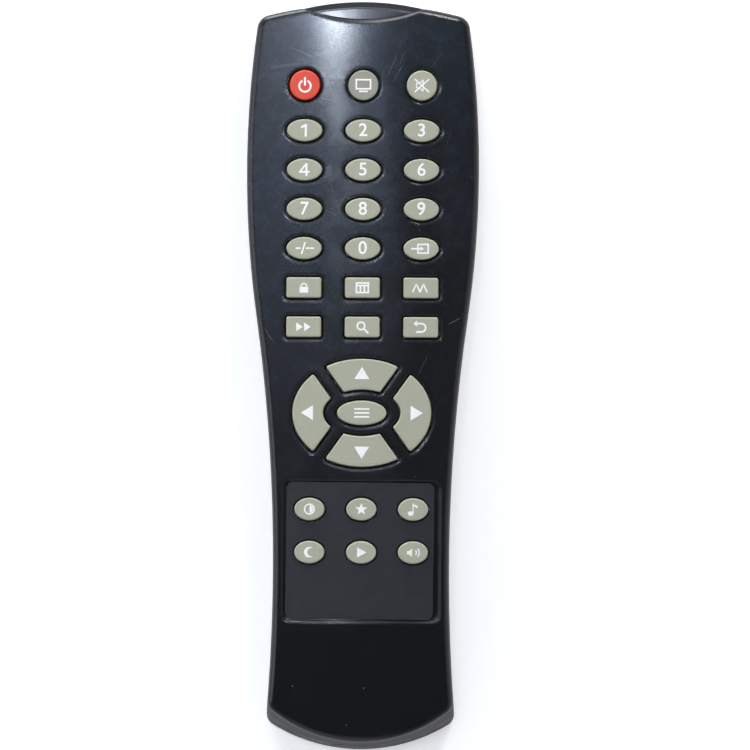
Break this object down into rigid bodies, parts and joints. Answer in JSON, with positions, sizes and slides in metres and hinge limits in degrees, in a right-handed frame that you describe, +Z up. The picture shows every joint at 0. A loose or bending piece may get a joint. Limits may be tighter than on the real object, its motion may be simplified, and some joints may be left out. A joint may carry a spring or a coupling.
{
  "type": "tv remote control",
  "caption": "Long hand-held remote control with a drawn-in waist, rubber keys, a direction pad, an infrared window and a sliding battery door.",
  "frame": {"origin": "centre of the bounding box in plan, on the plane that the underside rests on", "axes": "+Y along the case towards the infrared window, +Z up out of the keys, +X to the right"},
  "size_m": [0.0588, 0.19, 0.025],
  "materials": {
    "case_gloss": "glossy black with fine scratches",
    "case_matte": "fine spark-eroded grain",
    "panel_film": "matte printed film",
    "window_plastic": "dark, clear to infrared",
    "key_grey": "matte silicone",
    "key_grey_cool": "matte silicone",
    "key_red": "matte silicone",
    "mat_rubber": "matte silicone",
    "board": "paper laminate with lacquer",
    "carbon": "printed carbon ink",
    "chip_epoxy": "moulded epoxy",
    "tinned_metal": "tinned",
    "resonator_coat": "dipped coat",
    "capacitor_sleeve": "shrink sleeve",
    "resistor_coat": "lacquer",
    "led_lens": "clear tinted epoxy",
    "cell_jacket": "printed jacket",
    "spring_steel": "nickel plated",
    "screw_steel": "black zinc"
  },
  "bodies": {
    "housing": {"top_case": "case_gloss", "bottom_case": "case_matte", "ir_window": "window_plastic", "panel_overlay": "panel_film", "keypad_mat": "mat_rubber", "key_webs": "mat_rubber", "circuit_board": "board", "contact_pads": "carbon", "controller_chip": "chip_epoxy", "chip_pins": "tinned_metal", "resonator": "resonator_coat", "capacitor": "capacitor_sleeve", "transistor": "chip_epoxy", "resistors": "resistor_coat", "ir_led": "led_lens", "led_leads": "tinned_metal", "battery_cell_left": "cell_jacket", "battery_cell_right": "cell_jacket", "contact_springs": "spring_steel", "bridge_contact": "spring_steel", "positive_contact": "spring_steel", "negative_contact": "spring_steel", "case_screws": "screw_steel"},
    "battery_door": {"battery_door": "case_matte"},
    "power_key": {"power_key": "key_red"},
    "display_key": {"display_key": "key_grey_cool"},
    "mute_key": {"mute_key": "key_grey"},
    "key_1": {"key_1": "key_grey"},
    "key_2": {"key_2": "key_grey"},
    "key_3": {"key_3": "key_grey"},
    "key_4": {"key_4": "key_grey"},
    "key_5": {"key_5": "key_grey"},
    "key_6": {"key_6": "key_grey"},
    "key_7": {"key_7": "key_grey"},
    "key_8": {"key_8": "key_grey"},
    "key_9": {"key_9": "key_grey"},
    "digits_key": {"digits_key": "key_grey"},
    "key_0": {"key_0": "key_grey"},
    "source_key": {"source_key": "key_grey"},
    "lock_key": {"lock_key": "key_grey"},
    "calendar_key": {"calendar_key": "key_grey"},
    "wave_key": {"wave_key": "key_grey"},
    "scan_key": {"scan_key": "key_grey"},
    "zoom_key": {"zoom_key": "key_grey"},
    "recall_key": {"recall_key": "key_grey"},
    "up_key": {"up_key": "key_grey"},
    "down_key": {"down_key": "key_grey"},
    "left_key": {"left_key": "key_grey"},
    "right_key": {"right_key": "key_grey"},
    "menu_key": {"menu_key": "key_grey"},
    "picture_key": {"picture_key": "key_grey"},
    "favourite_key": {"favourite_key": "key_grey"},
    "sound_key": {"sound_key": "key_grey"},
    "sleep_key": {"sleep_key": "key_grey"},
    "demo_key": {"demo_key": "key_grey"},
    "listen_key": {"listen_key": "key_grey"}
  },
  "joints": [
    {"name": "battery_door_slide", "type": "slide", "parent": "housing", "child": "battery_door", "axis": [0, -1, 0], "range_m": [0, 0.062]},
    {"name": "power_key_press", "type": "slide", "parent": "housing", "child": "power_key", "axis": [0, 0, -1], "range_m": [0, 0.001], "stiffness_N_per_m": 800, "springref_m": -0.0003, "deforming": ["key_webs"]},
    {"name": "display_key_press", "type": "slide", "parent": "housing", "child": "display_key", "axis": [0, 0, -1], "range_m": [0, 0.001], "stiffness_N_per_m": 800, "springref_m": -0.0003, "deforming": ["key_webs"]},
    {"name": "mute_key_press", "type": "slide", "parent": "housing", "child": "mute_key", "axis": [0, 0, -1], "range_m": [0, 0.001], "stiffness_N_per_m": 800, "springref_m": -0.0003, "deforming": ["key_webs"]},
    {"name": "key_1_press", "type": "slide", "parent": "housing", "child": "key_1", "axis": [0, 0, -1], "range_m": [0, 0.001], "stiffness_N_per_m": 800, "springref_m": -0.0003, "deforming": ["key_webs"]},
    {"name": "key_2_press", "type": "slide", "parent": "housing", "child": "key_2", "axis": [0, 0, -1], "range_m": [0, 0.001], "stiffness_N_per_m": 800, "springref_m": -0.0003, "deforming": ["key_webs"]},
    {"name": "key_3_press", "type": "slide", "parent": "housing", "child": "key_3", "axis": [0, 0, -1], "range_m": [0, 0.001], "stiffness_N_per_m": 800, "springref_m": -0.0003, "deforming": ["key_webs"]},
    {"name": "key_4_press", "type": "slide", "parent": "housing", "child": "key_4", "axis": [0, 0, -1], "range_m": [0, 0.001], "stiffness_N_per_m": 800, "springref_m": -0.0003, "deforming": ["key_webs"]},
    {"name": "key_5_press", "type": "slide", "parent": "housing", "child": "key_5", "axis": [0, 0, -1], "range_m": [0, 0.001], "stiffness_N_per_m": 800, "springref_m": -0.0003, "deforming": ["key_webs"]},
    {"name": "key_6_press", "type": "slide", "parent": "housing", "child": "key_6", "axis": [0, 0, -1], "range_m": [0, 0.001], "stiffness_N_per_m": 800, "springref_m": -0.0003, "deforming": ["key_webs"]},
    {"name": "key_7_press", "type": "slide", "parent": "housing", "child": "key_7", "axis": [0, 0, -1], "range_m": [0, 0.001], "stiffness_N_per_m": 800, "springref_m": -0.0003, "deforming": ["key_webs"]},
    {"name": "key_8_press", "type": "slide", "parent": "housing", "child": "key_8", "axis": [0, 0, -1], "range_m": [0, 0.001], "stiffness_N_per_m": 800, "springref_m": -0.0003, "deforming": ["key_webs"]},
    {"name": "key_9_press", "type": "slide", "parent": "housing", "child": "key_9", "axis": [0, 0, -1], "range_m": [0, 0.001], "stiffness_N_per_m": 800, "springref_m": -0.0003, "deforming": ["key_webs"]},
    {"name": "digits_key_press", "type": "slide", "parent": "housing", "child": "digits_key", "axis": [0, 0, -1], "range_m": [0, 0.001], "stiffness_N_per_m": 800, "springref_m": -0.0003, "deforming": ["key_webs"]},
    {"name": "key_0_press", "type": "slide", "parent": "housing", "child": "key_0", "axis": [0, 0, -1], "range_m": [0, 0.001], "stiffness_N_per_m": 800, "springref_m": -0.0003, "deforming": ["key_webs"]},
    {"name": "source_key_press", "type": "slide", "parent": "housing", "child": "source_key", "axis": [0, 0, -1], "range_m": [0, 0.001], "stiffness_N_per_m": 800, "springref_m": -0.0003, "deforming": ["key_webs"]},
    {"name": "lock_key_press", "type": "slide", "parent": "housing", "child": "lock_key", "axis": [0, 0, -1], "range_m": [0, 0.001], "stiffness_N_per_m": 800, "springref_m": -0.0003, "deforming": ["key_webs"]},
    {"name": "calendar_key_press", "type": "slide", "parent": "housing", "child": "calendar_key", "axis": [0, 0, -1], "range_m": [0, 0.001], "stiffness_N_per_m": 800, "springref_m": -0.0003, "deforming": ["key_webs"]},
    {"name": "wave_key_press", "type": "slide", "parent": "housing", "child": "wave_key", "axis": [0, 0, -1], "range_m": [0, 0.001], "stiffness_N_per_m": 800, "springref_m": -0.0003, "deforming": ["key_webs"]},
    {"name": "scan_key_press", "type": "slide", "parent": "housing", "child": "scan_key", "axis": [0, 0, -1], "range_m": [0, 0.001], "stiffness_N_per_m": 800, "springref_m": -0.0003, "deforming": ["key_webs"]},
    {"name": "zoom_key_press", "type": "slide", "parent": "housing", "child": "zoom_key", "axis": [0, 0, -1], "range_m": [0, 0.001], "stiffness_N_per_m": 800, "springref_m": -0.0003, "deforming": ["key_webs"]},
    {"name": "recall_key_press", "type": "slide", "parent": "housing", "child": "recall_key", "axis": [0, 0, -1], "range_m": [0, 0.001], "stiffness_N_per_m": 800, "springref_m": -0.0003, "deforming": ["key_webs"]},
    {"name": "up_key_press", "type": "slide", "parent": "housing", "child": "up_key", "axis": [0, 0, -1], "range_m": [0, 0.001], "stiffness_N_per_m": 800, "springref_m": -0.0003, "deforming": ["key_webs"]},
    {"name": "down_key_press", "type": "slide", "parent": "housing", "child": "down_key", "axis": [0, 0, -1], "range_m": [0, 0.001], "stiffness_N_per_m": 800, "springref_m": -0.0003, "deforming": ["key_webs"]},
    {"name": "left_key_press", "type": "slide", "parent": "housing", "child": "left_key", "axis": [0, 0, -1], "range_m": [0, 0.001], "stiffness_N_per_m": 800, "springref_m": -0.0003, "deforming": ["key_webs"]},
    {"name": "right_key_press", "type": "slide", "parent": "housing", "child": "right_key", "axis": [0, 0, -1], "range_m": [0, 0.001], "stiffness_N_per_m": 800, "springref_m": -0.0003, "deforming": ["key_webs"]},
    {"name": "menu_key_press", "type": "slide", "parent": "housing", "child": "menu_key", "axis": [0, 0, -1], "range_m": [0, 0.001], "stiffness_N_per_m": 800, "springref_m": -0.0003, "deforming": ["key_webs"]},
    {"name": "picture_key_press", "type": "slide", "parent": "housing", "child": "picture_key", "axis": [0, 0, -1], "range_m": [0, 0.001], "stiffness_N_per_m": 800, "springref_m": -0.0003, "deforming": ["key_webs"]},
    {"name": "favourite_key_press", "type": "slide", "parent": "housing", "child": "favourite_key", "axis": [0, 0, -1], "range_m": [0, 0.001], "stiffness_N_per_m": 800, "springref_m": -0.0003, "deforming": ["key_webs"]},
    {"name": "sound_key_press", "type": "slide", "parent": "housing", "child": "sound_key", "axis": [0, 0, -1], "range_m": [0, 0.001], "stiffness_N_per_m": 800, "springref_m": -0.0003, "deforming": ["key_webs"]},
    {"name": "sleep_key_press", "type": "slide", "parent": "housing", "child": "sleep_key", "axis": [0, 0, -1], "range_m": [0, 0.001], "stiffness_N_per_m": 800, "springref_m": -0.0003, "deforming": ["key_webs"]},
    {"name": "demo_key_press", "type": "slide", "parent": "housing", "child": "demo_key", "axis": [0, 0, -1], "range_m": [0, 0.001], "stiffness_N_per_m": 800, "springref_m": -0.0003, "deforming": ["key_webs"]},
    {"name": "listen_key_press", "type": "slide", "parent": "housing", "child": "listen_key", "axis": [0, 0, -1], "range_m": [0, 0.001], "stiffness_N_per_m": 800, "springref_m": -0.0003, "deforming": ["key_webs"]}
  ]
}
